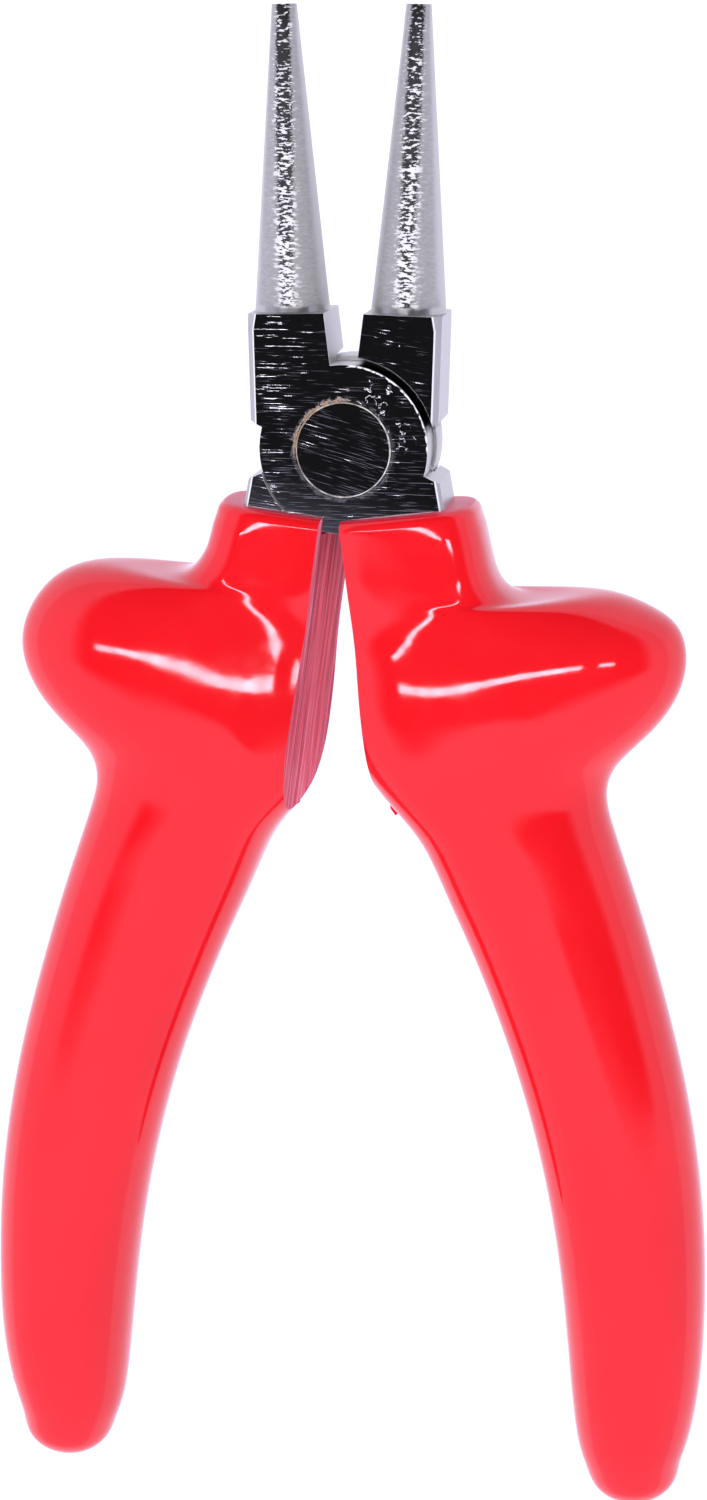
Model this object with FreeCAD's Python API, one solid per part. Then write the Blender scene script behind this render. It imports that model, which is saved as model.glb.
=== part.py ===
"""Round nose pliers with insulated grips: two lap-jointed levers on a flush rivet.

Units are millimetres.  The pliers lie flat: +X to the right, +Y towards the jaw
tips, +Z up.  The finished model has its origin at the centre of the rivet's front
face.  Each half is first drawn closed, with the pivot at the origin, mid-way
through the steel, and is then turned open to its resting angle.
"""
import FreeCAD
import Part
import math
import os

Vec = FreeCAD.Vector
X_AXIS = Vec(1, 0, 0)
Y_AXIS = Vec(0, 1, 0)
Z_AXIS = Vec(0, 0, 1)
PIVOT = Vec(0, 0, 0)
FAR = 400.0                       # larger than the whole tool

# ---- joint and steel ----
REST_ANGLE = 14.19                # opening between the halves as the tool lies
STEEL = 9.6                       # thickness of the forged head
HALF = STEEL / 2
LAP_GAP = 0.04                    # running gap between the two lapped plates

FRONT_DISC_R = 8.45               # lap plate of the front lever
REAR_DISC_R = 8.8                 # lap plate of the rear lever
SHANK_GAP = 0.15                  # shoulder of the shank to the other plate
RECESS_MID_GAP = 0.25             # jaw block to the other plate, at mid thickness
RECESS_FACE_R = 9.25              # the same recess where it meets the outer face

# ---- jaw: a cone on a block ----
JAW_BASE = (-4.15, 13.95)         # centre of the cone where it leaves the block
JAW_LEAN = 5.57                   # the cone leans in towards the centre line
JAW_BASE_R = 3.75
JAW_TIP_R = 1.23
JAW_LENGTH = 29.6
BLOCK_INNER_X = -0.3
BLOCK_SIDE = (-9.0, 3.85)         # a point on the block's outer side
BLOCK_TAPER = 5.6                 # that side closes in towards the jaw
BLOCK_FOOT_SLOPE = 33.0           # the step under the block
BLOCK_EDGE = 0.68                 # chamfer along the outer side
BLOCK_CORNER = (-7.8, 11.6)       # the chamfer widens above this point
BLOCK_CORNER_TURN = 11.0          # by a facet turned this much from the side
BLOCK_STOCK_X = -14.0             # the block before its sides are trimmed
BLOCK_STOCK_Y = (-2.0, 20.0)
CONE_ROOT = 0.6                   # how far the cone starts inside the block

# ---- shank and tang ----
SHANK_SIDE = (9.15, -4.2)
SHANK_TAPER = 3.2
SHANK_LEDGE = (8.75, -4.05)
SHANK_LEDGE_SLOPE = 33.0
SHANK_EDGE = 0.45
SHANK_INNER_X = 2.7
SHANK_END = -12.5
SHANK_STOCK_X = 14.0              # the shoulder before its sides are trimmed
TANG_TOP = ((2.9, -11.5), (9.3, -11.5))          # its inner and outer side at the top
TANG_NECK = ((3.4, -26.0), (11.0, -20.0))
TANG_HIP = ((6.6, -43.0), (17.9, -41.0))
TANG_MIDDLE = ((14.2, -72.0), (23.4, -73.0))     # each side is an arc through here
TANG_FOOT = ((15.5, -104.0), (22.0, -103.0))
TANG_TIP = (18.4, -110.0)
TANG_SIDE = [(-11.0, 4.8), (-12.5, 4.8), (-20.0, 3.6), (-60.0, 3.1), (-114.0, 2.4)]

# ---- rivet ----
RIVET_R = 4.2
RIVET_HEAD_R = 4.7
RIVET_HEAD_DEPTH = 0.6
RIVET_CLEARANCE = 0.03            # in the rear lever, which turns on it

# ---- grips ----
RIM_Y = -7.05                     # top edge of the collar
CUT_TILT = 8.2                    # the knife leant across while slicing the grips
BASE_COAT = 0.7                   # thin first layer on the steel
BASE_COAT_TOP = -10.5
POCKET_GAP = 0.4                  # room in each collar round the other plate
POCKET_FLOOR = 0.1                # and under it
FRONT_GRIP = (-16.85, -112.0)     # top of the guard, and where the end is rounded
REAR_GRIP = (-15.1, -111.1)
FRONT_CUT_X = -0.4                # each grip is sliced flat along this line
REAR_CUT_X = 0.4
SECTION_POINTS = 28
END_LENGTH = 4.9                  # the rounded end below the last row
END_STEPS = (28.0, 50.0, 68.0, 80.0, 86.0)


def grip_rows(shoulder, foot):
    """Rows across the grip: inner point, outer point, half thickness at each,
    and how square the section is at each side (2 is an ellipse)."""
    return [
        ((-3.9, -6.0), (12.1, -6.0), 6.5, 6.65, 3.25, 3.0),
        ((-4.0, -7.6), (12.6, -8.6), 6.35, 6.85, 3.1, 3.0),
        ((-4.1, -9.2), (12.9, -11.2), 6.25, 7.1, 2.95, 3.0),
        ((-4.2, -10.9), (13.3, shoulder + 2.5), 6.25, 7.2, 2.8, 2.9),
        ((-4.3, -12.7), (14.4, shoulder + 0.5), 6.42, 7.18, 2.7, 2.7),
        ((-4.4, -14.6), (16.6, shoulder - 0.5), 6.72, 6.97, 2.55, 2.4),
        ((-4.6, -16.6), (20.4, shoulder - 0.45), 6.95, 6.94, 2.45, 2.2),
        ((-4.8, -18.8), (24.8, shoulder - 0.75), 7.15, 7.3, 2.4, 2.1),
        ((-5.0, -21.2), (28.8, shoulder - 2.9), 7.6, 8.35, 2.33, 2.1),
        ((-5.2, -23.7), (31.2, -22.2), 8.42, 8.85, 2.3, 2.1),
        ((-5.2, -26.4), (31.3, -26.4), 9.25, 8.82, 2.25, 2.1),
        ((-4.4, -29.2), (29.1, -30.4), 9.56, 8.55, 2.35, 2.1),
        ((-2.9, -32.1), (25.9, -33.3), 9.64, 7.92, 2.6, 2.1),
        ((-1.2, -35.1), (23.25, -35.6), 9.33, 7.32, 2.75, 2.1),
        ((0.9, -38.3), (22.05, -38.6), 8.85, 7.13, 2.75, 2.1),
        ((2.95, -42.0), (22.5, -42.4), 8.25, 7.2, 2.6, 2.2),
        ((4.65, -48.0), (23.65, -48.0), 7.6, 7.15, 2.35, 2.2),
        ((6.5, -54.0), (24.8, -54.0), 7.3, 7.2, 2.2, 2.2),
        ((8.8, -63.0), (26.25, -63.0), 7.3, 7.2, 2.2, 2.2),
        ((10.5, -72.0), (27.3, -72.0), 7.3, 7.3, 2.2, 2.2),
        ((11.6, -82.0), (27.7, -82.0), 7.2, 7.2, 2.2, 2.2),
        ((11.95, -92.0), (27.2, -92.0), 7.1, 7.1, 2.2, 2.2),
        ((11.75, -102.0), (25.9, -102.0), 6.8, 6.8, 2.2, 2.2),
        ((11.75, foot + 3.0), (24.1, foot + 2.8), 6.3, 6.3, 2.1, 2.1),
        ((12.3, foot), (22.75, foot - 0.4), 5.7, 5.7, 2.1, 2.1),
    ]


# ---- helpers ----
def flat_direction(degrees):
    angle = math.radians(degrees)
    return Vec(math.cos(angle), math.sin(angle), 0)


def trim(shape, point, outward):
    """Cut away everything beyond the plane through point that faces outward."""
    sheet = Part.makePlane(2 * FAR, 2 * FAR, Vec(-FAR, -FAR, 0))
    sheet.Placement = FreeCAD.Placement(point, FreeCAD.Rotation(Z_AXIS, outward))
    return shape.cut(sheet.extrude(Vec(outward).normalize() * FAR))


def slab(x_span, y_span, z_span):
    corner = Vec(x_span[0], y_span[0], z_span[0])
    return Part.makeBox(x_span[1] - x_span[0], y_span[1] - y_span[0],
                        z_span[1] - z_span[0], corner)


def disc(radius, z_low, z_high):
    return Part.makeCylinder(radius, z_high - z_low, Vec(0, 0, z_low), Z_AXIS)


def line(start, end):
    return Part.makeLine(Vec(start[0], start[1], 0), Vec(end[0], end[1], 0))


def arc(start, middle, end):
    return Part.Arc(*[Vec(x, y, 0) for x, y in (start, middle, end)]).toShape()


# ---- steel ----
def jaw_block():
    """The block under the cone, with its outer side tapered and chamfered."""
    block = slab((BLOCK_STOCK_X, BLOCK_INNER_X), BLOCK_STOCK_Y, (-HALF, HALF))
    lean = flat_direction(90 - JAW_LEAN)
    block = trim(block, Vec(JAW_BASE[0], JAW_BASE[1], 0), lean)
    side = flat_direction(180 - BLOCK_TAPER)
    block = trim(block, Vec(BLOCK_SIDE[0], BLOCK_SIDE[1], 0), side)
    foot = flat_direction(270 - BLOCK_FOOT_SLOPE)
    block = trim(block, Vec(BLOCK_SIDE[0], BLOCK_SIDE[1], 0), foot)
    for up in (1, -1):
        face_edge = Vec(BLOCK_SIDE[0] + BLOCK_EDGE, BLOCK_SIDE[1], up * HALF)
        block = trim(block, face_edge, side + Z_AXIS * up)
        corner = Vec(BLOCK_CORNER[0], BLOCK_CORNER[1], up * HALF)
        facet = flat_direction(180 - BLOCK_TAPER - BLOCK_CORNER_TURN) + Z_AXIS * up
        block = trim(block, corner, facet)
    return block


def jaw_cone():
    base = Vec(JAW_BASE[0], JAW_BASE[1], 0)
    lean = flat_direction(90 - JAW_LEAN)
    spread = (JAW_BASE_R - JAW_TIP_R) / JAW_LENGTH * CONE_ROOT
    return Part.makeCone(JAW_BASE_R + spread, JAW_TIP_R, JAW_LENGTH + CONE_ROOT,
                         base - lean * CONE_ROOT, lean)


def shank_block():
    """The full-thickness shoulder between the joint and the tang."""
    block = slab((SHANK_INNER_X, SHANK_STOCK_X), (SHANK_END, 0), (-HALF, HALF))
    side = flat_direction(SHANK_TAPER)
    block = trim(block, Vec(SHANK_SIDE[0], SHANK_SIDE[1], 0), side)
    ledge = flat_direction(90 - SHANK_LEDGE_SLOPE)
    block = trim(block, Vec(SHANK_LEDGE[0], SHANK_LEDGE[1], 0), ledge)
    for up in (1, -1):
        face_edge = Vec(SHANK_SIDE[0] - SHANK_EDGE, SHANK_SIDE[1], up * HALF)
        block = trim(block, face_edge, side + Z_AXIS * up)
    return block


def tang_outline():
    """Down the inner side, round the tip and up the outer side."""
    inner, outer = [list(side) for side in zip(TANG_TOP, TANG_NECK, TANG_HIP,
                                               TANG_MIDDLE, TANG_FOOT)]
    edges = [line(inner[0], inner[1]), line(inner[1], inner[2]),
             arc(inner[2], inner[3], inner[4]), arc(inner[4], TANG_TIP, outer[4]),
             arc(outer[4], outer[3], outer[2]), line(outer[2], outer[1]),
             line(outer[1], outer[0]), line(outer[0], inner[0])]
    return Part.Face(Part.Wire(edges))


def tang(grow):
    """The flat bar inside the grip, thinner towards its end."""
    plan = tang_outline()
    if grow:
        plan = plan.makeOffset2D(grow)
    plan.translate(Vec(0, 0, -STEEL))
    bar = plan.extrude(Z_AXIS * 2 * STEEL)
    upper = [Vec(0, y, half + grow) for y, half in TANG_SIDE]
    lower = [Vec(0, y, -half - grow) for y, half in reversed(TANG_SIDE)]
    side = Part.Face(Part.makePolygon(upper + lower + upper[:1]))
    return bar.common(side.extrude(X_AXIS * FAR))


def rivet_shape(grow):
    """A pin with a shallow cone at each end, flush with both faces."""
    neck = HALF - RIVET_HEAD_DEPTH
    pin = disc(RIVET_R + grow, -HALF, HALF)
    for up in (1, -1):
        head = Part.makeCone(RIVET_R + grow, RIVET_HEAD_R + grow, RIVET_HEAD_DEPTH,
                             Vec(0, 0, up * neck), Z_AXIS * up)
        pin = pin.fuse(head)
    return pin.removeSplitter()


def lever(disc_r, other_disc_r, rivet_gap):
    """One forging: jaw at -X, tang at +X, lap plate in the upper half."""
    lap = LAP_GAP / 2
    recess = Part.makeCone(RECESS_FACE_R, other_disc_r + RECESS_MID_GAP, HALF + lap,
                           Vec(0, 0, -HALF), Z_AXIS)
    jaw = jaw_block().cut(recess).fuse(jaw_cone())
    handle = shank_block().fuse(tang(0.0))
    handle = handle.cut(disc(other_disc_r + SHANK_GAP, -HALF, lap))
    body = jaw.fuse([disc(disc_r, lap, HALF), handle])
    body = body.cut(rivet_shape(rivet_gap))
    return body.removeSplitter()


# ---- grips ----
def section(centre, along, half_width, thickness, squareness):
    """Points round a closed section, from its outer side over the top and back."""
    points = []
    for step in range(SECTION_POINTS):
        turn = 2 * math.pi * step / SECTION_POINTS
        c, s = math.cos(turn), math.sin(turn)
        power = 2.0 / (squareness[1] if c > 0 else squareness[0])
        across = math.copysign(abs(c) ** power, c)
        blend = (1 + across) / 2
        height = thickness[0] + (thickness[1] - thickness[0]) * blend
        rise = math.copysign(abs(s) ** power, s) * height
        points.append(centre + along * (half_width * across) + Z_AXIS * rise)
    return points


def grip_sections(shoulder, foot):
    """All sections of a grip, from the rim to the rounded end."""
    sections = []
    for inner, outer, t_in, t_out, n_in, n_out in grip_rows(shoulder, foot):
        start, end = Vec(inner[0], inner[1], 0), Vec(outer[0], outer[1], 0)
        centre = (start + end) * 0.5
        along = (end - start).normalize()
        half_width = (end - start).Length / 2
        sections.append(section(centre, along, half_width, (t_in, t_out), (n_in, n_out)))
    down = Vec(along.y, -along.x, 0)
    for angle in END_STEPS:
        shrink = math.cos(math.radians(angle))
        reach = math.sin(math.radians(angle)) * END_LENGTH
        sections.append(section(centre + down * reach, along, half_width * shrink,
                                (t_in * shrink, t_out * shrink), (n_in, n_out)))
    return sections


def sharpen(before, point, after):
    """A control point that makes a cubic spline pass close to the given point."""
    return point + (point * 2 - before - after) * (1 / 6)


def control_net(sections):
    count = len(sections)
    net = [[sharpen(row[u - 1], row[u], row[(u + 1) % SECTION_POINTS])
            for u in range(SECTION_POINTS)] for row in sections]
    middle = [[sharpen(net[v - 1][u], net[v][u], net[v + 1][u])
               for u in range(SECTION_POINTS)] for v in range(1, count - 1)]
    return [net[0]] + middle + [net[-1]]


def is_end(edge):
    """True for the half sections at the two ends, false for the long seams."""
    return edge.BoundBox.YLength < 0.2 * edge.BoundBox.ZLength


def grip_form(shoulder, foot):
    """The moulded outside of a grip, before its inner side is sliced flat."""
    net = control_net(grip_sections(shoulder, foot))
    columns = [[row[u] for row in net] for u in range(SECTION_POINTS)]
    spans = len(net) - 3
    knots = list(range(SECTION_POINTS + 1))
    faces = []
    for first in (0, SECTION_POINTS // 2):
        surface = Part.BSplineSurface()
        surface.buildFromPolesMultsKnots(
            columns, [1] * (SECTION_POINTS + 1), [4] + [1] * (spans - 1) + [4],
            knots, list(range(spans + 1)), True, False, 3, 3)
        surface.segment(first, first + SECTION_POINTS // 2, 0, spans)
        faces.append(surface.toShape())
    for low, high in ((RIM_Y, FAR), (-FAR, RIM_Y)):
        ends = [edge for face in faces for edge in face.Edges
                if is_end(edge) and low < edge.BoundBox.YMin < high]
        faces.append(Part.Face(Part.Wire(Part.sortEdges(ends)[0])))
    shell = Part.makeShell(faces)
    shell.sewShape()
    return Part.makeSolid(shell)


def sliced_form(ends, cut_x):
    form = grip_form(*ends)
    form = trim(form, Vec(0, RIM_Y, 0), Y_AXIS)
    lean = math.radians(CUT_TILT)
    return trim(form, Vec(cut_x, 0, 0), Vec(-math.cos(lean), 0, -math.sin(lean)))


def base_coat(steel):
    coat = trim(tang(BASE_COAT), Vec(0, BASE_COAT_TOP, 0), Y_AXIS)
    return coat.cut(steel)


def grip(steel, coat, other_disc_r, ends, cut_x):
    pocket = disc(other_disc_r + POCKET_GAP, -HALF - POCKET_FLOOR, LAP_GAP)
    return sliced_form(ends, cut_x).cut(steel).cut(coat).cut(pocket)


# ---- assembly ----
def half_tool(disc_r, other_disc_r, rivet_gap, grip_ends, cut_x):
    steel = lever(disc_r, other_disc_r, rivet_gap)
    coat = base_coat(steel)
    return {"lever": steel, "grip_base_coat": coat,
            "grip": grip(steel, coat, other_disc_r, grip_ends, cut_x)}


def place(shape, turn, flip):
    """Turn a half over for the rear lever, open it, and drop it to the rivet's face."""
    if flip:
        shape.rotate(PIVOT, Y_AXIS, 180)
    shape.rotate(PIVOT, Z_AXIS, turn)
    shape.translate(Vec(0, 0, -HALF))
    return shape


def build():
    nodes = {}
    front = half_tool(FRONT_DISC_R, REAR_DISC_R, 0.0, FRONT_GRIP, FRONT_CUT_X)
    rear = half_tool(REAR_DISC_R, FRONT_DISC_R, RIVET_CLEARANCE, REAR_GRIP, REAR_CUT_X)
    for name, shape in front.items():
        nodes["front_" + name] = place(shape, REST_ANGLE / 2, False)
    for name, shape in rear.items():
        nodes["rear_" + name] = place(shape, -REST_ANGLE / 2, True)
    nodes["rivet"] = place(rivet_shape(0.0), 0, False)
    return nodes


def export(nodes):
    os.makedirs("parts", exist_ok=True)
    for name, shape in nodes.items():
        solids = shape.Solids
        whole = solids[0] if len(solids) == 1 else Part.makeCompound(solids)
        whole.exportStep("parts/" + name + ".step")
        print(name, "solids", len(solids), "valid", whole.isValid(),
              "volume %.1f" % whole.Volume)


export(build())
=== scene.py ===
"""Looks of the round nose pliers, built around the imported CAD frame.

Units are metres, but names that end in _MM and all places inside the materials are
in millimetres.  The grips' form is drawn in the same way as in the CAD source:
closed, pivot at the origin, and each one is then turned open with its lever.
"""
import math

import bmesh
import bpy
import numpy as np
from mathutils import Matrix, Vector


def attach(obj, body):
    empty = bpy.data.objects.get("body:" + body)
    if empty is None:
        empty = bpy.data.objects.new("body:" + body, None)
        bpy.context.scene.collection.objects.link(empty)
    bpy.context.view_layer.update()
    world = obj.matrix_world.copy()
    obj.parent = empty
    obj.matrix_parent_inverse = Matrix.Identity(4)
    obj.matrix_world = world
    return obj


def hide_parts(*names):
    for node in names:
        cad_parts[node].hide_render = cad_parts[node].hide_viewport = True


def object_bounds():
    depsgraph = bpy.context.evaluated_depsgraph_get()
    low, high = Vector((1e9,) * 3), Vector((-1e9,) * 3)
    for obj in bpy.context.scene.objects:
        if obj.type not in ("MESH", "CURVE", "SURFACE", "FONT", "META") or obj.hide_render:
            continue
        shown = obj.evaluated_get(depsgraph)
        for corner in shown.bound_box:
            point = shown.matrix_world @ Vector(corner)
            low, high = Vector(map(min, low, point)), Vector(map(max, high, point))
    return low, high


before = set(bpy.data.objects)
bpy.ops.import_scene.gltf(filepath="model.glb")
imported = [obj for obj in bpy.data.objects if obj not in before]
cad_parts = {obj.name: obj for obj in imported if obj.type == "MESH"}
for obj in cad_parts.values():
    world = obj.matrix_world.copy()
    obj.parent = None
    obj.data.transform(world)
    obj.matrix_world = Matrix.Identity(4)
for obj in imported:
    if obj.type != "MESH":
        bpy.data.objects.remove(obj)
cad_low, cad_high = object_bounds()

MM = 0.001

# ---- camera ----
CAMERA_PLACE = Vector((0.04355, 0.04041, 0.28314))
CAMERA_TARGET = Vector((0.00042, -0.03179, -0.0048))
CAMERA_ROLL = math.radians(0.17)
CAMERA_LENS = 69.64
CAMERA_SENSOR = 36.0              # along the long side
CAMERA_NEAR = 0.01

# ---- grips, as in part.py ----
REST_ANGLE = math.radians(14.19)  # how far the tool lies open
HALF_STEEL_MM = 4.8
RIM_Y_MM = -7.05
CUT_TILT = math.radians(8.2)      # the knife leant across the grips
FRONT_DISC_R_MM = 8.45
REAR_DISC_R_MM = 8.8
POCKET_GAP_MM = 0.4               # room round the other lever's plate
POCKET_ROOM_MM = 0.14             # and over its thickness
POCKET_DROP_MM = 0.03             # how far that room's middle is below the plate's
POCKET_SIDES = 96
FRONT_GRIP_MM = (-16.85, -112.0)  # top of the guard, and where the end is rounded
REAR_GRIP_MM = (-15.1, -111.1)
FRONT_CUT_X_MM = -0.4             # the inner side is sliced flat along this line
REAR_CUT_X_MM = 0.4
SECTION_POINTS = 28
SECTION_STEPS = 6                 # mesh columns to one span of the net
ROW_STEPS = 7                     # mesh rings to one span of the net
RIM_ROUND_MM = 1.1
RIM_CLEAR_MM = 0.05               # between the rounding and the first ring below it
RIM_ANGLES = (0, 15, 30, 45, 60, 75, 90)
END_LENGTH_MM = 4.9
END_ANGLES = (28.0, 50.0, 68.0, 80.0, 86.0, 90.0)
GRIP_SHARP = math.radians(35)     # edges sharper than this stay sharp
NIB_HALF_MM = 0.22                # half the thickness of the flakes at the cuts' foot
NIB_THINNED = 0.6                 # how much of that is gone at every other top corner
FRONT_NIB_MM = ((-0.3, -37.0), (1.2, -37.4), (1.1, -38.9), (0.5, -38.5), (0.1, -38.9),
                (-0.4, -38.1))
REAR_NIB_MM = ((0.5, -36.9), (1.3, -37.6), (0.8, -38.2), (0.5, -37.9))

# ---- steel ----
JAW_BASE_Y_MM = 13.8              # the cones start here, as the tool lies
JAW_STEP_MM = 0.3                 # the cones' finish is complete this far up
FACE_EDGE_MM = (0.2, 0.1)         # a ground face starts this far under its surface
JAW_MIDDLE_Y_MM = 29.0            # and this is halfway up them
EDGE_MM = 0.12                    # how much every edge is eased
EDGE_SHARP = math.radians(25)     # edges sharper than this are eased
WELD = 1e-6                       # vertices closer than this are one
STAIN_R_MM = 4.95                 # the ring of old oil round the rivet
DING_SPOTS_MM = (((3.4, 5.2, 0.0), 2.6), ((5.8, 1.4, 0.0), 2.0))
SEAM_R_MM = 4.7
SEAM_WIDTH_MM = 0.18
SEAM_STEPS = 180
SEAM_PROFILE = ((-1, -0.05), (-0.6, 0.012), (0, 0.02), (0.6, 0.012), (1, -0.05))
SEAM_WAVES = ((3, 1.0, 1.0), (7, 0.6, 0.0), (13, 0.4, 0.0))
SEAM_UNEVEN = 0.18
FRONT_SCRATCH_TURN = 0.0          # which way each piece was ground
REAR_SCRATCH_TURN = math.radians(8)
RIVET_SCRATCH_TURN = math.radians(15)

# ---- colours ----
RED_DEEP = (0.67, 0.006, 0.010, 1)
RED_BRIGHT = (0.78, 0.010, 0.016, 1)
RED_DUSTY = (0.95, 0.30, 0.36, 1)
RED_TRIMMED = (0.78, 0.055, 0.10, 1)
CUT_RED = (0.60, 0.035, 0.075, 1)
CUT_PINK = (0.95, 0.22, 0.31, 1)
CUT_DARK = (0.36, 0.006, 0.022, 1)
CUT_PALE = (1.0, 0.55, 0.65, 1)
CUT_GRAIN = (0.7, 0.2, 0.3, 1)
COAT_DARK = (0.16, 0.012, 0.012, 1)
COAT_LIGHT = (0.26, 0.020, 0.018, 1)
FACE_CLEAN = (0.50, 0.50, 0.49, 1)
FACE_MARKED = (0.66, 0.66, 0.64, 1)
SIDE_DARK = (0.40, 0.40, 0.37, 1)
SIDE_LIGHT = (0.56, 0.56, 0.52, 1)
# painted highlight: the near white the eased steel edges are painted so they show as
# bright lines
EDGE_HIGHLIGHT_PAINT = (0.86, 0.86, 0.82, 1)
# painted highlight colour of the upper plate's edge
RIM_HIGHLIGHT_PAINT = (0.85, 0.85, 0.82, 1)
CONE_DARK = (0.24, 0.24, 0.23, 1)
CONE_LIGHT = (0.44, 0.44, 0.425, 1)
# painted sheen on the cones' sideways flanks
CONE_SIDE_SHEEN_PAINT = (0.52, 0.52, 0.50, 1)
# painted reflection and painted glints of the cones' front and back stripe
RIDGE_REFLECTION_PAINT = (0.012, 0.012, 0.012, 1)
RIDGE_GLINT_PAINT = (0.66, 0.66, 0.645, 1)
# painted shade for the deep gap at the joint
GAP_SHADE_PAINT = (0.02, 0.02, 0.018, 1)
OLD_DUST = (0.75, 0.72, 0.62, 1)
OLD_OIL = (0.27, 0.175, 0.075, 1)
SEAM_DARK = (0.16, 0.155, 0.135, 1)
SEAM_BRIGHT = (0.72, 0.70, 0.62, 1)
SEAM_OIL = (0.34, 0.22, 0.10, 1)
FLOOR_GREY = (0.1, 0.1, 0.1, 1)
FLOOR_GLOW = (1.02, 1.0, 1.25, 1)
ROOM_WHITE = (0.88, 0.85, 1.16, 1)
OPENING_DARK = (0.014, 0.014, 0.017, 1)
LAMP_TINT = (0.97, 0.92, 1.1)

# ---- room and lights ----
# Q and P place a direction overhead: its y and its x, both over its z.  A pair says
# where a soft edge starts and where it is complete.
FLOOR_HALF = 3.0
FLOOR_GAP = 0.0002                # under the lowest point of the tool
OPENING_Q = -0.20                 # the near edge of the dark opening
OPENING_BEND_Q = -0.08            # and how far each of two bends shifts it
OPENING_RIGHT_BEND_P = (-0.10, 0.15)
OPENING_LEFT_BEND_P = (-0.2, -0.6)
OPENING_LEFT_P = (-1.5, -0.95)
OPENING_RIGHT_P = (2.6, 1.3)
OPENING_LOWEST_Z = (0.02, 0.14)
OPENING_BLUR_P = (0.05, 0.4)      # the edge is softer to the sides
OPENING_BLUR_Q = 0.03
OPENING_MORE_BLUR_Q = 0.08
LEAST_Z = 0.001                   # keeps P and Q finite at the horizon
LAMP_Q = 0.06
LAMP_HALF_Q = (0.032, 0.016)
LAMP_MIDDLE_P = -0.04
LAMP_REACH_P = (0.79, 0.73)
LAMP_GAP_P = 0.44                 # where the row has a gap
LAMP_GAP_HALF_P = (0.07, 0.11)
LAMP_PATTERN = 9.0                # how closely the bulbs follow each other
LAMP_LEAST = 2.0
LAMP_RANGE = 34.0
OVERHEAD_PLACE = (0, 0, 1.0)
OVERHEAD_SIZE = 1.2
OVERHEAD_POWER = 11.0


def grip_rows(shoulder, foot):
    """Rows across the grip: inner point, outer point, half thickness at each,
    and how square the section is at each side (2 is an ellipse)."""
    return [
        ((-4.0, RIM_Y_MM), (12.4, RIM_Y_MM), 6.4, 6.8, 3.15, 3.0),
        ((-4.1, -9.2), (12.9, -11.2), 6.25, 7.1, 2.95, 3.0),
        ((-4.2, -10.9), (13.3, shoulder + 2.5), 6.25, 7.2, 2.8, 2.9),
        ((-4.3, -12.7), (14.4, shoulder + 0.5), 6.42, 7.18, 2.7, 2.7),
        ((-4.4, -14.6), (16.6, shoulder - 0.5), 6.72, 6.97, 2.55, 2.4),
        ((-4.6, -16.6), (20.4, shoulder - 0.45), 6.95, 6.94, 2.45, 2.2),
        ((-4.8, -18.8), (24.8, shoulder - 0.75), 7.15, 7.3, 2.4, 2.1),
        ((-5.0, -21.2), (28.8, shoulder - 2.9), 7.6, 8.35, 2.33, 2.1),
        ((-5.2, -23.7), (31.2, -22.2), 8.42, 8.85, 2.3, 2.1),
        ((-5.2, -26.4), (31.3, -26.4), 9.25, 8.82, 2.25, 2.1),
        ((-4.4, -29.2), (29.1, -30.4), 9.56, 8.55, 2.35, 2.1),
        ((-2.9, -32.1), (25.9, -33.3), 9.64, 7.92, 2.6, 2.1),
        ((-1.2, -35.1), (23.25, -35.6), 9.33, 7.32, 2.75, 2.1),
        ((0.9, -38.3), (22.05, -38.6), 8.85, 7.13, 2.75, 2.1),
        ((2.95, -42.0), (22.5, -42.4), 8.25, 7.2, 2.6, 2.2),
        ((4.65, -48.0), (23.65, -48.0), 7.6, 7.15, 2.35, 2.2),
        ((6.5, -54.0), (24.8, -54.0), 7.3, 7.2, 2.2, 2.2),
        ((8.8, -63.0), (26.25, -63.0), 7.3, 7.2, 2.2, 2.2),
        ((10.5, -72.0), (27.3, -72.0), 7.3, 7.3, 2.2, 2.2),
        ((11.6, -82.0), (27.7, -82.0), 7.2, 7.2, 2.2, 2.2),
        ((11.95, -92.0), (27.2, -92.0), 7.1, 7.1, 2.2, 2.2),
        ((11.75, -102.0), (25.9, -102.0), 6.8, 6.8, 2.2, 2.2),
        ((11.75, foot + 3.0), (24.1, foot + 2.8), 6.3, 6.3, 2.1, 2.1),
        ((12.3, foot), (22.75, foot - 0.4), 5.7, 5.7, 2.1, 2.1),
    ]


# ---- node helpers ----
def feed(tree, node, inputs):
    """Give a node its inputs; each is a value or another node's output."""
    for name, value in inputs.items():
        if isinstance(value, bpy.types.NodeSocket):
            tree.links.new(value, node.inputs[name])
        else:
            node.inputs[name].default_value = value


def add(tree, kind, inputs=None, **settings):
    """A shader node with its settings and inputs."""
    made = tree.nodes.new("ShaderNode" + kind)
    for name, value in settings.items():
        setattr(made, name, value)
    feed(tree, made, inputs or {})
    return made


def calc(tree, operation, *values):
    return add(tree, "Math", dict(enumerate(values)), operation=operation).outputs[0]


def product(tree, result, *factors):
    for factor in factors:
        result = calc(tree, "MULTIPLY", result, factor)
    return result


def distance(tree, value, middle):
    """How far a value is from the middle one, either way."""
    return calc(tree, "ABSOLUTE", calc(tree, "SUBTRACT", value, middle))


def smooth_step(tree, value, low, high):
    """0 at low, 1 at high, and smooth between them; low may be the greater."""
    return add(tree, "MapRange", {"Value": value, "From Min": low, "From Max": high},
               interpolation_type="SMOOTHSTEP").outputs["Result"]


def mix(tree, share, first, second):
    """The first colour where the share is 0, and the second where it is 1."""
    return add(tree, "Mix", {0: share, 6: first, 7: second}, data_type="RGBA").outputs[2]


def mix_values(tree, share, first, second):
    return add(tree, "Mix", {0: share, 2: first, 3: second}, data_type="FLOAT").outputs[0]


def split(tree, vector):
    """The x, y and z of a vector."""
    return add(tree, "SeparateXYZ", {0: vector}).outputs


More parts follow.
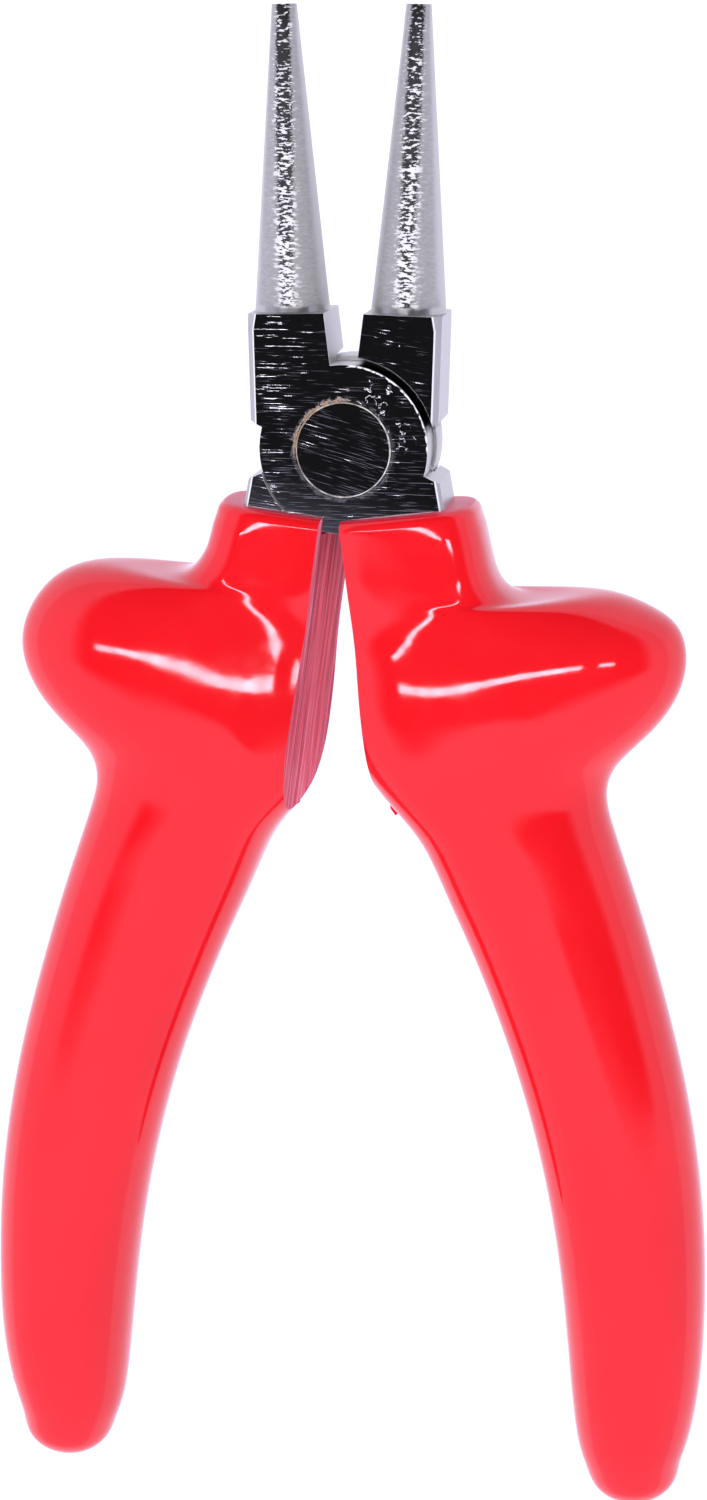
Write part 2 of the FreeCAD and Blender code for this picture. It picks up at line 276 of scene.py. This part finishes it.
def facing(tree, kind="Normal"):
    """The x, y and z of the way the surface faces."""
    return split(tree, add(tree, "NewGeometry").outputs[kind])


def length(tree, vector):
    return add(tree, "VectorMath", {0: vector}, operation="LENGTH").outputs["Value"]


def shifted(tree, vector, step):
    return add(tree, "VectorMath", {0: vector, 1: step}, operation="ADD").outputs[0]


def mapped(tree, scale=(1, 1, 1), turn=0.0):
    """Object coordinates in millimetres, turned back about Z and then scaled; a
    scale under 1 draws a pattern out."""
    coordinates = add(tree, "TexCoord").outputs["Object"]
    return add(tree, "Mapping", {"Vector": coordinates, "Rotation": (0, 0, turn),
                                 "Scale": [MM / s for s in scale]},
               vector_type="TEXTURE").outputs["Vector"]


def noise(tree, vector, scale, detail=2.0, rough=0.5):
    return add(tree, "TexNoise", {"Vector": vector, "Scale": scale, "Detail": detail,
                                  "Roughness": rough}).outputs["Fac"]


def bumped(tree, height, distance_mm, normal=None):
    inputs = {"Height": height, "Distance": distance_mm * MM}
    if normal is not None:
        inputs["Normal"] = normal
    return add(tree, "Bump", inputs).outputs["Normal"]


def new_material(name):
    material = bpy.data.materials.new(name)
    material.use_nodes = True
    return material, material.node_tree, material.node_tree.nodes["Principled BSDF"]


# ---- materials ----
def specks(tree, vector, cell, radius, share):
    """Small round marks, one at most in a cell, in a share of the cells."""
    cells = add(tree, "TexVoronoi", {"Vector": vector, "Scale": cell})
    near = smooth_step(tree, cells.outputs["Distance"], radius, radius * 0.5)
    pick = add(tree, "SeparateColor", {"Color": cells.outputs["Color"]}).outputs["Red"]
    return product(tree, near, calc(tree, "LESS_THAN", pick, share))


def grip_material():
    """Glossy dipped vinyl, a little uneven, with a few specks of dust."""
    material, tree, shader = new_material("grip_red")
    place = mapped(tree)
    cloud = noise(tree, place, 0.09, 3.0)
    colour = mix(tree, cloud, RED_DEEP, RED_BRIGHT)
    wobble = add(tree, "TexNoise", {"Vector": place, "Scale": 2.5}).outputs["Color"]
    dust_place = shifted(tree, place, wobble)
    dust = calc(tree, "MAXIMUM", specks(tree, dust_place, 0.11, 0.022, 0.35),
                specks(tree, dust_place, 0.23, 0.030, 0.10))
    colour = mix(tree, product(tree, dust, 0.55), colour, RED_DUSTY)
    haze = noise(tree, place, 0.35, 4.0, 0.6)
    rough = add(tree, "MapRange", {"Value": haze, "From Min": 0.3, "From Max": 0.75,
                                   "To Min": 0.035, "To Max": 0.10}).outputs["Result"]
    rough = calc(tree, "MULTIPLY_ADD", dust, 0.4, rough)
    ripple = noise(tree, place, 0.30, 2.0)
    peel = noise(tree, place, 1.6, 2.0)
    normal = bumped(tree, ripple, 0.010)
    normal = bumped(tree, peel, 0.0012, normal)
    normal = bumped(tree, dust, 0.02, normal)
    # the collar's top face was trimmed and is dull
    _, upward, _ = facing(tree)
    _, y, _ = split(tree, place)
    rim = product(tree, smooth_step(tree, upward, 0.85, 0.97),
                  smooth_step(tree, y, -10.0, -9.5))
    colour = mix(tree, rim, colour, RED_TRIMMED)
    rough = calc(tree, "MULTIPLY_ADD", rim, 0.30, rough)
    level = calc(tree, "MULTIPLY_ADD", rim, -0.2, 0.5)
    feed(tree, shader, {"Base Color": colour, "Roughness": rough, "IOR": 1.5,
                        "Specular IOR Level": level, "Normal": normal})
    return material


def cut_material(turn):
    """The knife cut: matt, with light and dark streaks drawn down the handle."""
    material, tree, shader = new_material("grip_cut")
    streaks = mapped(tree, (0.25, 0.022, 1.0), turn)
    broad = noise(tree, streaks, 0.75, 2.0)
    fine = noise(tree, streaks, 2.6, 3.0, 0.6)
    grain = noise(tree, mapped(tree), 5.0, 2.0)
    colour = mix(tree, smooth_step(tree, fine, 0.38, 0.62), CUT_RED, CUT_PINK)
    dark = smooth_step(tree, broad, 0.50, 0.60)
    colour = mix(tree, product(tree, dark, 0.7), colour, CUT_DARK)
    pale = smooth_step(tree, noise(tree, streaks, 4.5, 2.0), 0.56, 0.68)
    colour = mix(tree, product(tree, pale, 0.7), colour, CUT_PALE)
    colour = mix(tree, product(tree, grain, 0.15), colour, CUT_GRAIN)
    height = calc(tree, "ADD", fine, product(tree, grain, 0.3))
    feed(tree, shader, {"Base Color": colour, "Roughness": 0.6,
                        "Specular IOR Level": 0.12,
                        "Normal": bumped(tree, height, 0.06)})
    return material


def scratches(tree, turn, seed, width, share):
    """Fine grinding marks that run along X, turned."""
    along = mapped(tree, (0.22, 1 / width, 0.01), turn)
    moved = shifted(tree, along, (seed, seed * 1.7, 0))
    return smooth_step(tree, noise(tree, moved, 1.0, 2.0), 0.74 - share, 0.90 - share)


def dings(tree, place, centre, radius):
    """Short curled dents, crowded round one place."""
    away = add(tree, "VectorMath", {0: place, 1: centre}, operation="DISTANCE")
    near = smooth_step(tree, away.outputs["Value"], radius, radius * 0.4)
    curls = distance(tree, noise(tree, place, 1.1, 1.5), 0.5)
    chosen = smooth_step(tree, noise(tree, place, 0.9, 0.0), 0.52, 0.58)
    return product(tree, smooth_step(tree, curls, 0.022, 0.008), chosen, near)


def steel_masks(tree, place):
    """Where a point lies: ground face, eased edge, cone."""
    _, y, depth = split(tree, place)
    from_middle = distance(tree, depth, -HALF_STEEL_MM)
    _, _, upright = facing(tree, "True Normal")
    level = smooth_step(tree, calc(tree, "ABSOLUTE", upright), 0.97, 0.995)
    outer = smooth_step(tree, from_middle, HALF_STEEL_MM - FACE_EDGE_MM[0],
                        HALF_STEEL_MM - FACE_EDGE_MM[1])
    flat = product(tree, level, outer)
    edge = product(tree, outer, calc(tree, "SUBTRACT", 1.0, level))
    cone = smooth_step(tree, y, JAW_BASE_Y_MM, JAW_BASE_Y_MM + JAW_STEP_MM)
    return flat, edge, cone


def polished(tree, place, turn):
    """Scratches and dings of the ground faces: 0 where clean, 1 in the deepest."""
    x, _, _ = split(tree, place)
    patch = smooth_step(tree, noise(tree, place, 0.30, 2.0), 0.38, 0.68)
    worn = calc(tree, "MULTIPLY_ADD", smooth_step(tree, x, -2.5, -6.5), 0.14,
                calc(tree, "MULTIPLY_ADD", patch, 0.2, 0.13))
    fine = scratches(tree, -turn, 3.0, 0.07, 0.15)
    deep = scratches(tree, -turn - 0.04, 11.0, 0.12, 0.04)
    marks = product(tree, calc(tree, "MAXIMUM", fine, deep), worn)
    dots = specks(tree, place, 0.9, 0.08, 0.04)
    for centre, radius in DING_SPOTS_MM:
        dots = calc(tree, "MAXIMUM", dots, dings(tree, place, centre, radius))
    return calc(tree, "MAXIMUM", marks, product(tree, dots, 0.8))


def stained(tree, place, face):
    """Old oil and dust along the seam of the rivet: the face's colour with them on,
    and where each lies."""
    x, y, _ = split(tree, place)
    cloud = noise(tree, place, 1.3, 4.0, 0.65)
    ragged = calc(tree, "MULTIPLY_ADD", cloud, -1.6,
                  distance(tree, length(tree, place), STAIN_R_MM))
    dust = smooth_step(tree, ragged, -0.42, -0.80)
    corner = smooth_step(tree, calc(tree, "SUBTRACT", y, product(tree, x, 1.1)), 2.5, 6.0)
    oil = product(tree, dust, corner, 0.8)
    face = mix(tree, product(tree, dust, 0.25), face, OLD_DUST)
    return mix(tree, oil, face, OLD_OIL), dust, oil


def cone_finish_and_painted_reflection(tree, place, ridges):
    """Satin flanks, painted lighter where they face sideways as a painted sheen, and a
    stripe down front and back where the ridges are painted black or with white glints: a
    painted reflection of the dark opening overhead and its glints.
    """
    x_way, _, _ = facing(tree)
    sideways = calc(tree, "ABSOLUTE", x_way)
    _, y, _ = split(tree, place)
    height = calc(tree, "SUBTRACT", y, JAW_MIDDLE_Y_MM)
    half_width = calc(tree, "MULTIPLY_ADD", height, 0.009, 0.40)
    inside = calc(tree, "SUBTRACT", half_width, sideways)
    ragged = calc(tree, "MULTIPLY_ADD", calc(tree, "SUBTRACT", ridges, 0.5), 0.9, inside)
    # painted reflection: a stripe facing front and back, painted dark as the dark opening
    # overhead would look in it
    stripe = smooth_step(tree, ragged, -0.06, 0.10)
    level = calc(tree, "MULTIPLY_ADD", height, 0.0045, 0.545)
    # painted glints: ridges above the level are painted white, fewer towards the tips
    glint = smooth_step(tree, calc(tree, "SUBTRACT", ridges, level), -0.025, 0.025)
    painted_reflection_colour = mix(tree, glint, RIDGE_REFLECTION_PAINT, RIDGE_GLINT_PAINT)
    satin = mix(tree, ridges, CONE_DARK, CONE_LIGHT)
    # painted sheen: flanks facing sideways are painted lighter
    satin = mix(tree, smooth_step(tree, sideways, 0.75, 0.97), satin, CONE_SIDE_SHEEN_PAINT)
    return mix(tree, stripe, satin, painted_reflection_colour)


def round_plate(tree, place):
    """A point's x, y and depth, its place on the face, and how far it is outside the
    upper plate's round edge."""
    x, y, depth = split(tree, place)
    flat_place = add(tree, "CombineXYZ", {"X": x, "Y": y}).outputs[0]
    past = calc(tree, "SUBTRACT", length(tree, flat_place), FRONT_DISC_R_MM)
    return x, y, depth, flat_place, past


def painted_rim_highlight(tree, place):
    """A painted highlight: a bright, nicked line along the upper plate's edge where it
    turns past the other block.
    """
    x, y, depth, flat_place, past = round_plate(tree, place)
    nicks = noise(tree, flat_place, 1.4, 3.0, 0.7)
    inner = calc(tree, "MULTIPLY_ADD", nicks, -0.45, 0.05)
    return product(tree, smooth_step(tree, calc(tree, "SUBTRACT", past, inner), 0.0, 0.08),
                   smooth_step(tree, past, 0.15, -0.05),
                   smooth_step(tree, depth, -0.3, -0.15),
                   smooth_step(tree, x, 0.2, 0.8), smooth_step(tree, y, -1.0, 0.5),
                   smooth_step(tree, nicks, 0.42, 0.52))


def painted_joint_shade(tree, place):
    """Painted shade: dark colour in the deep gap between a plate and the block round it,
    where little light gets in.
    """
    x, y, depth, _, past = round_plate(tree, place)
    return product(tree, smooth_step(tree, past, -0.25, -0.05),
                   smooth_step(tree, past, 1.05, 0.85),
                   smooth_step(tree, y, 1.4, 2.2), smooth_step(tree, x, 0.8, 1.6),
                   smooth_step(tree, depth, -0.12, -0.5))


def steel_material(name, scratch_turn):
    """Forged steel: ground and polished front and back, satin sides, ridged cones, with
    painted highlights on the eased edges and the upper plate's rim, a painted reflection
    and painted glints on the cones, and painted shade in the joint's gap.
    """
    material, tree, shader = new_material(name)
    place = mapped(tree)
    flat, edge, cone = steel_masks(tree, place)
    marks = polished(tree, place, scratch_turn)
    face_colour = mix(tree, marks, FACE_CLEAN, FACE_MARKED)
    face_colour, dust, oil = stained(tree, place, face_colour)
    dirt = calc(tree, "MAXIMUM", product(tree, dust, 0.10), product(tree, oil, 0.35))
    face_rough = calc(tree, "ADD", dirt, calc(tree, "MULTIPLY_ADD", marks, 0.24, 0.03))
    # satin sides, and cones with broken turning ridges
    grain = noise(tree, mapped(tree, (3.0, 0.5, 3.0)), 1.6, 4.0, 0.65)
    ridges = noise(tree, mapped(tree, (1.5, 4.0, 1.5)), 1.0, 2.0, 0.6)
    side_colour = mix(tree, grain, SIDE_DARK, SIDE_LIGHT)
    # the cones get their satin, the painted reflection and glints, and the painted sheen
    side_colour = mix(tree, cone, side_colour, cone_finish_and_painted_reflection(tree, place, ridges))
    # painted highlight along the eased edges, near white
    side_colour = mix(tree, edge, side_colour, EDGE_HIGHLIGHT_PAINT)
    # painted shade in the deep gap round the plate
    side_colour = mix(tree, painted_joint_shade(tree, place), side_colour, GAP_SHADE_PAINT)
    side_rough = calc(tree, "MULTIPLY_ADD", cone, 0.06, 0.36)
    # painted highlight: worn here holds the bright line painted on the upper plate's edge
    worn = painted_rim_highlight(tree, place)
    colour = mix(tree, worn, mix(tree, flat, side_colour, face_colour), RIM_HIGHLIGHT_PAINT)
    # the painted rim highlight, the painted cone colours and the painted edge highlights
    # lose most of their metal, so their painted colour shows as it is
    dull = calc(tree, "MAXIMUM", worn, calc(tree, "MAXIMUM", product(tree, cone, 0.8),
                                            product(tree, edge, 0.6)))
    relief = product(tree, ridges, calc(tree, "MULTIPLY_ADD", cone, 0.03, 0.008))
    cut = product(tree, marks, product(tree, flat, -0.006))
    height = mix_values(tree, flat, relief, cut)
    feed(tree, shader, {"Base Color": colour,
                        "Roughness": mix_values(tree, flat, side_rough, face_rough),
                        "Metallic": calc(tree, "SUBTRACT", 1.0, dull),
                        "Normal": bumped(tree, height, 1.0)})
    return material


def ring_material():
    """The bright worn seam round the rivet, stained with old oil on one side."""
    material, tree, shader = new_material("rivet_seam")
    place = mapped(tree)
    x, y, _ = split(tree, place)
    corner = calc(tree, "SUBTRACT", y, product(tree, x, 1.2))
    cloud = noise(tree, place, 1.1, 4.0, 0.6)
    stain = product(tree, smooth_step(tree, corner, 1.0, 6.0),
                    smooth_step(tree, cloud, 0.35, 0.55))
    patchy = smooth_step(tree, noise(tree, place, 0.6, 3.0, 0.7), 0.35, 0.65)
    colour = mix(tree, patchy, SEAM_DARK, SEAM_BRIGHT)
    colour = mix(tree, stain, colour, SEAM_OIL)
    feed(tree, shader, {"Base Color": colour, "Roughness": 0.45, "Metallic": 0.3,
                        "Normal": bumped(tree, cloud, 0.04)})
    return material


def base_coat_material():
    """The thin first coat on the steel: dull, dark red, slightly grainy."""
    material, tree, shader = new_material("base_coat")
    cloud = noise(tree, mapped(tree), 0.8, 4.0)
    colour = mix(tree, cloud, COAT_DARK, COAT_LIGHT)
    feed(tree, shader, {"Base Color": colour, "Roughness": 0.7,
                        "Normal": bumped(tree, cloud, 0.03)})
    return material


# ---- mesh helpers ----
def new_object(name, data):
    made = bpy.data.objects.new(name, data)
    bpy.context.scene.collection.objects.link(made)
    return made


def mesh_from(work, name):
    """A mesh of what was worked on, which is then let go."""
    mesh = bpy.data.meshes.new(name)
    work.to_mesh(mesh)
    work.free()
    return mesh


def shade_smooth(mesh):
    mesh.polygons.foreach_set("use_smooth", [True] * len(mesh.polygons))


# ---- grip mesh ----
def section(centre, along, half_width, thickness, squareness):
    """Points round a closed section, from its outer side over the top and back."""
    turn = 2 * np.pi * np.arange(SECTION_POINTS) / SECTION_POINTS
    c, s = np.cos(turn), np.sin(turn)
    power = 2.0 / np.where(c > 1e-12, squareness[1], squareness[0])
    across = np.sign(c) * np.abs(c) ** power
    height = thickness[0] + (thickness[1] - thickness[0]) * (1 + across) / 2
    rise = np.sign(s) * np.abs(s) ** power * height
    flat = centre + np.outer(half_width * across, along)
    return np.column_stack([flat, rise])


def grip_sections(shoulder, foot):
    """All sections of a grip, from the rim to the rounded end."""
    sections = []
    for inner, outer, t_in, t_out, n_in, n_out in grip_rows(shoulder, foot):
        start, end = np.array(inner), np.array(outer)
        half_width = np.linalg.norm(end - start) / 2
        along = (end - start) / (2 * half_width)
        centre = (start + end) / 2
        sections.append(section(centre, along, half_width, (t_in, t_out), (n_in, n_out)))
    down = np.array([along[1], -along[0]])
    for angle in np.radians(END_ANGLES):
        shrink = math.cos(angle)
        place = centre + down * math.sin(angle) * END_LENGTH_MM
        sections.append(section(place, along, half_width * shrink,
                                (t_in * shrink, t_out * shrink), (n_in, n_out)))
    return np.array(sections)


def sharpened(net, axis):
    """Control points that make a cubic spline pass close to the given points."""
    bend = 2 * net - np.roll(net, 1, axis) - np.roll(net, -1, axis)
    if axis == 0:
        bend[0] = bend[-1] = 0
    return net + bend / 6


def refined(net, steps):
    """Points along the cubic splines whose control points run down axis 0."""
    t = (np.arange(steps) / steps)[:, None]
    weights = np.hstack([(1 - t) ** 3, 3 * t ** 3 - 6 * t ** 2 + 4,
                         -3 * t ** 3 + 3 * t ** 2 + 3 * t + 1, t ** 3]) / 6
    spans = len(net) - 3
    quads = np.stack([net[i:i + spans] for i in range(4)], 1)
    return np.einsum("sk,ik...->is...", weights, quads).reshape(-1, *net.shape[1:])


def grip_grid(shoulder, foot):
    """Rings of points down the grip's outside, in millimetres."""
    net = sharpened(sharpened(grip_sections(shoulder, foot), 1), 0)
    padded = np.concatenate([[2 * net[0] - net[1]], net, [2 * net[-1] - net[-2]]])
    rings = np.concatenate([refined(padded, ROW_STEPS), net[-1:]])
    around = np.moveaxis(rings, 1, 0)
    around = np.concatenate([around[-1:], around, around[:2]])
    return np.moveaxis(refined(around, SECTION_STEPS), 1, 0)


def with_round_rim(rings):
    """The same rings with the outer edge of the rim rounded over."""
    rim = rings[0].copy()
    rim[:, 1] = RIM_Y_MM
    run = np.roll(rim, -1, 0) - np.roll(rim, 1, 0)
    inward = np.column_stack([-run[:, 2], np.zeros(len(run)), run[:, 0]])
    inward /= np.linalg.norm(inward, axis=1)[:, None]
    inward *= np.sign(((rim.mean(0) - rim) * inward).sum(1))[:, None]
    lips = []
    for angle in np.radians(RIM_ANGLES):
        lip = rim + inward * RIM_ROUND_MM * (1 - math.sin(angle))
        lip[:, 1] -= RIM_ROUND_MM * (1 - math.cos(angle))
        lips.append(lip)
    top = RIM_Y_MM - RIM_ROUND_MM - RIM_CLEAR_MM
    return np.array(lips + [ring for ring in rings if ring[:, 1].max() < top])


def closed_mesh(name, rings):
    """A mesh skinned over the rings, with a flat top and a pole at the far end."""
    count = rings.shape[1]
    work = bmesh.new()
    rows = [[work.verts.new(point) for point in ring] for ring in rings[:-1]]
    pole = work.verts.new(rings[-1].mean(0))
    for upper, lower in zip(rows, rows[1:]):
        for i in range(count):
            j = (i + 1) % count
            work.faces.new((upper[i], lower[i], lower[j], upper[j]))
    for i in range(count):
        work.faces.new((rows[-1][i], pole, rows[-1][(i + 1) % count]))
    work.faces.new(rows[0])
    bmesh.ops.recalc_face_normals(work, faces=work.faces)
    return mesh_from(work, name)


def slice_flat(mesh, cut_x):
    """Cut the inner side flat, as a knife did, and mark the new face as slot 1."""
    outward = Vector((-math.cos(CUT_TILT), 0, -math.sin(CUT_TILT)))
    work = bmesh.new()
    work.from_mesh(mesh)
    parts = work.verts[:] + work.edges[:] + work.faces[:]
    made = bmesh.ops.bisect_plane(work, geom=parts, plane_co=(cut_x, 0, 0),
                                  plane_no=outward, clear_outer=True)
    rim = [part for part in made["geom_cut"] if isinstance(part, bmesh.types.BMEdge)]
    for face in bmesh.ops.triangle_fill(work, edges=rim, use_beauty=True)["geom"]:
        if isinstance(face, bmesh.types.BMFace):
            face.material_index = 1
    work.to_mesh(mesh)
    work.free()


def pocket(radius):
    """The room in a collar for the other lever's plate."""
    work = bmesh.new()
    bmesh.ops.create_cone(work, cap_ends=True, segments=POCKET_SIDES, radius1=radius,
                          radius2=radius, depth=HALF_STEEL_MM + POCKET_ROOM_MM)
    bmesh.ops.translate(work, verts=work.verts,
                        vec=(0, 0, -HALF_STEEL_MM / 2 - POCKET_DROP_MM))
    return new_object("pocket", mesh_from(work, "pocket"))


def hollowed(made, cutter):
    """made's mesh with the cutter taken out of it."""
    tool = made.modifiers.new("pocket", "BOOLEAN")
    tool.object = cutter
    tool.operation = "DIFFERENCE"
    tool.solver = "EXACT"
    graph = bpy.context.evaluated_depsgraph_get()
    mesh = bpy.data.meshes.new_from_object(made.evaluated_get(graph))
    made.modifiers.clear()
    made.data = mesh
    bpy.data.objects.remove(cutter)
    return made


def to_frame(flip):
    """From a half's own drawing, in millimetres, to the row frame."""
    turn = Matrix.Rotation(REST_ANGLE / 2 * (-1 if flip else 1), 4, "Z")
    over = Matrix.Rotation(math.pi, 4, "Y") if flip else Matrix.Identity(4)
    drop = Matrix.Translation((0, 0, -HALF_STEEL_MM))
    return Matrix.Scale(MM, 4) @ drop @ turn @ over


def build_grip(name, body, node, ends, cut_x, other_disc_r, flip, materials):
    """A grip with its knife cut in the second material, instead of the CAD's."""
    mesh = closed_mesh(name, with_round_rim(grip_grid(*ends)))
    slice_flat(mesh, cut_x)
    for material in materials:
        mesh.materials.append(material)
    made = hollowed(new_object(name, mesh), pocket(other_disc_r + POCKET_GAP_MM))
    made.data.name = name
    made.data.transform(to_frame(flip))
    shade_smooth(made.data)
    made.data.set_sharp_from_angle(angle=GRIP_SHARP)
    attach(made, body)
    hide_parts(node)


def build_nib(name, body, outline, flip, material):
    """A flake torn up by the knife, left hanging where it came out of the grip."""
    work = bmesh.new()
    top = [work.verts.new((x, y, NIB_HALF_MM * (1 - NIB_THINNED * (i % 2))))
           for i, (x, y) in enumerate(outline)]
    under = [work.verts.new((x, y, -NIB_HALF_MM)) for x, y in outline]
    work.faces.new(top)
    work.faces.new(list(reversed(under)))
    for i in range(len(outline)):
        k = (i + 1) % len(outline)
        work.faces.new((top[k], top[i], under[i], under[k]))
    bmesh.ops.recalc_face_normals(work, faces=work.faces)
    mesh = mesh_from(work, name)
    mesh.transform(to_frame(flip))
    mesh.materials.append(material)
    made = new_object(name, mesh)
    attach(made, body)


# ---- steel ----
def finish_steel(name, material):
    """The CAD solid itself, with its edges eased and its surface finished."""
    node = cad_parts[name]
    node.data.materials[0] = material
    weld = node.modifiers.new("weld", "WELD")
    weld.merge_threshold = WELD
    bevel = node.modifiers.new("bevel", "BEVEL")
    bevel.width = EDGE_MM * MM
    bevel.segments = 2
    bevel.limit_method = "ANGLE"
    bevel.angle_limit = EDGE_SHARP
    bevel.harden_normals = True


def build_rivet_seam(material):
    """A thin, slightly uneven ring that stands in the joint round the rivet's head."""
    work = bmesh.new()
    rings = []
    for step in range(SEAM_STEPS):
        turn = 2 * math.pi * step / SEAM_STEPS
        wave = sum(share * math.sin(count * turn + start)
                   for count, share, start in SEAM_WAVES)
        half = SEAM_WIDTH_MM / 2 * (1 + SEAM_UNEVEN * wave)
        places = [((SEAM_R_MM + half * share) * MM, height * MM)
                  for share, height in SEAM_PROFILE]
        rings.append([work.verts.new((far * math.cos(turn), far * math.sin(turn), z))
                      for far, z in places])
    for i, ring in enumerate(rings):
        following = rings[(i + 1) % SEAM_STEPS]
        for j in range(len(ring)):
            k = (j + 1) % len(ring)
            work.faces.new((ring[j], following[j], following[k], ring[k]))
    bmesh.ops.recalc_face_normals(work, faces=work.faces)
    mesh = mesh_from(work, "rivet_seam")
    shade_smooth(mesh)
    mesh.materials.append(material)
    seam = new_object("rivet_seam", mesh)
    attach(seam, "front_half")


# ---- stage ----
def build_floor():
    """The white ground that the tool lies on."""
    material, tree, shader = new_material("floor")
    feed(tree, shader, {"Base Color": FLOOR_GREY, "Roughness": 0.9,
                        "Emission Color": FLOOR_GLOW, "Emission Strength": 1.0})
    work = bmesh.new()
    bmesh.ops.create_grid(work, x_segments=2, y_segments=2, size=FLOOR_HALF)
    mesh = mesh_from(work, "floor")
    mesh.materials.append(material)
    floor = new_object("floor", mesh)
    floor.location.z = cad_low.z - FLOOR_GAP


def dark_opening(tree, p, q, z):
    """1 inside the dark opening overhead, whose near edge bends and blurs sideways."""
    edge = calc(tree, "MULTIPLY_ADD", smooth_step(tree, p, *OPENING_RIGHT_BEND_P),
                OPENING_BEND_Q, OPENING_Q)
    edge = calc(tree, "MULTIPLY_ADD", smooth_step(tree, p, *OPENING_LEFT_BEND_P),
                OPENING_BEND_Q, edge)
    blur = calc(tree, "MULTIPLY_ADD", smooth_step(tree, calc(tree, "ABSOLUTE", p),
                                                  *OPENING_BLUR_P),
                OPENING_MORE_BLUR_Q, OPENING_BLUR_Q)
    above = calc(tree, "DIVIDE", calc(tree, "SUBTRACT", q, edge), blur)
    return product(tree, smooth_step(tree, above, -1.0, 1.0),
                   smooth_step(tree, p, *OPENING_LEFT_P),
                   smooth_step(tree, p, *OPENING_RIGHT_P),
                   smooth_step(tree, z, *OPENING_LOWEST_Z))


def lamp_row(tree, p, q):
    """1 on the row of lamps."""
    return product(
        tree, smooth_step(tree, distance(tree, q, LAMP_Q), *LAMP_HALF_Q),
        smooth_step(tree, distance(tree, p, LAMP_MIDDLE_P), *LAMP_REACH_P),
        smooth_step(tree, distance(tree, p, LAMP_GAP_P), *LAMP_GAP_HALF_P))


def build_world():
    """A white room with a dark opening overhead and a thin row of lamps across it."""
    world = bpy.data.worlds.new("studio")
    bpy.context.scene.world = world
    world.use_nodes = True
    tree = world.node_tree
    x, y, z = split(tree, add(tree, "TexCoord").outputs["Generated"])
    up = calc(tree, "MAXIMUM", z, LEAST_Z)
    p, q = calc(tree, "DIVIDE", x, up), calc(tree, "DIVIDE", y, up)
    lamp = lamp_row(tree, p, q)
    bulbs = noise(tree, add(tree, "CombineXYZ", {"X": p}).outputs[0], LAMP_PATTERN)
    bulbs = calc(tree, "MULTIPLY_ADD", bulbs, LAMP_RANGE, LAMP_LEAST)
    bright = add(tree, "VectorMath", {0: LAMP_TINT, "Scale": bulbs},
                 operation="SCALE").outputs[0]
    colour = mix(tree, dark_opening(tree, p, q, z), ROOM_WHITE, OPENING_DARK)
    feed(tree, tree.nodes["Background"], {"Color": mix(tree, lamp, colour, bright)})


def build_overhead_light():
    """A broad soft light, kept out of the reflections."""
    data = bpy.data.lights.new("overhead", "AREA")
    data.size = OVERHEAD_SIZE
    data.energy = OVERHEAD_POWER
    light = new_object("overhead", data)
    light.location = OVERHEAD_PLACE
    light.rotation_euler = (-Vector(OVERHEAD_PLACE)).to_track_quat("-Z", "Y").to_euler()
    light.visible_glossy = False


def build_camera():
    data = bpy.data.cameras.new("camera")
    data.sensor_width = CAMERA_SENSOR
    data.lens = CAMERA_LENS
    data.clip_start = CAMERA_NEAR
    back = (CAMERA_PLACE - CAMERA_TARGET).normalized()
    right = Vector((0, 1, 0)).cross(back).normalized()
    up = back.cross(right)
    axes = Matrix((right, up, back)).transposed() @ Matrix.Rotation(CAMERA_ROLL, 3, "Z")
    camera = new_object("camera", data)
    camera.matrix_world = Matrix.Translation(CAMERA_PLACE) @ axes.to_4x4()
    bpy.context.scene.camera = camera


def main():
    red = grip_material()
    turn = REST_ANGLE / 2
    build_grip("front_grip_skin", "front_half", "front_grip", FRONT_GRIP_MM,
               FRONT_CUT_X_MM, REAR_DISC_R_MM, False, (red, cut_material(turn)))
    build_grip("rear_grip_skin", "rear_half", "rear_grip", REAR_GRIP_MM,
               REAR_CUT_X_MM, FRONT_DISC_R_MM, True, (red, cut_material(-turn)))
    build_nib("front_grip_nib", "front_half", FRONT_NIB_MM, False, red)
    build_nib("rear_grip_nib", "rear_half", REAR_NIB_MM, True, red)
    finish_steel("front_lever", steel_material("front_steel", FRONT_SCRATCH_TURN))
    finish_steel("rear_lever", steel_material("rear_steel", REAR_SCRATCH_TURN))
    finish_steel("rivet", steel_material("rivet_steel", RIVET_SCRATCH_TURN))
    coat = base_coat_material()
    for name in ("front_grip_base_coat", "rear_grip_base_coat"):
        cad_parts[name].data.materials[0] = coat
    build_rivet_seam(ring_material())
    build_floor()
    build_world()
    build_overhead_light()
    build_camera()
    bpy.context.scene.view_settings.view_transform = "Standard"


main()
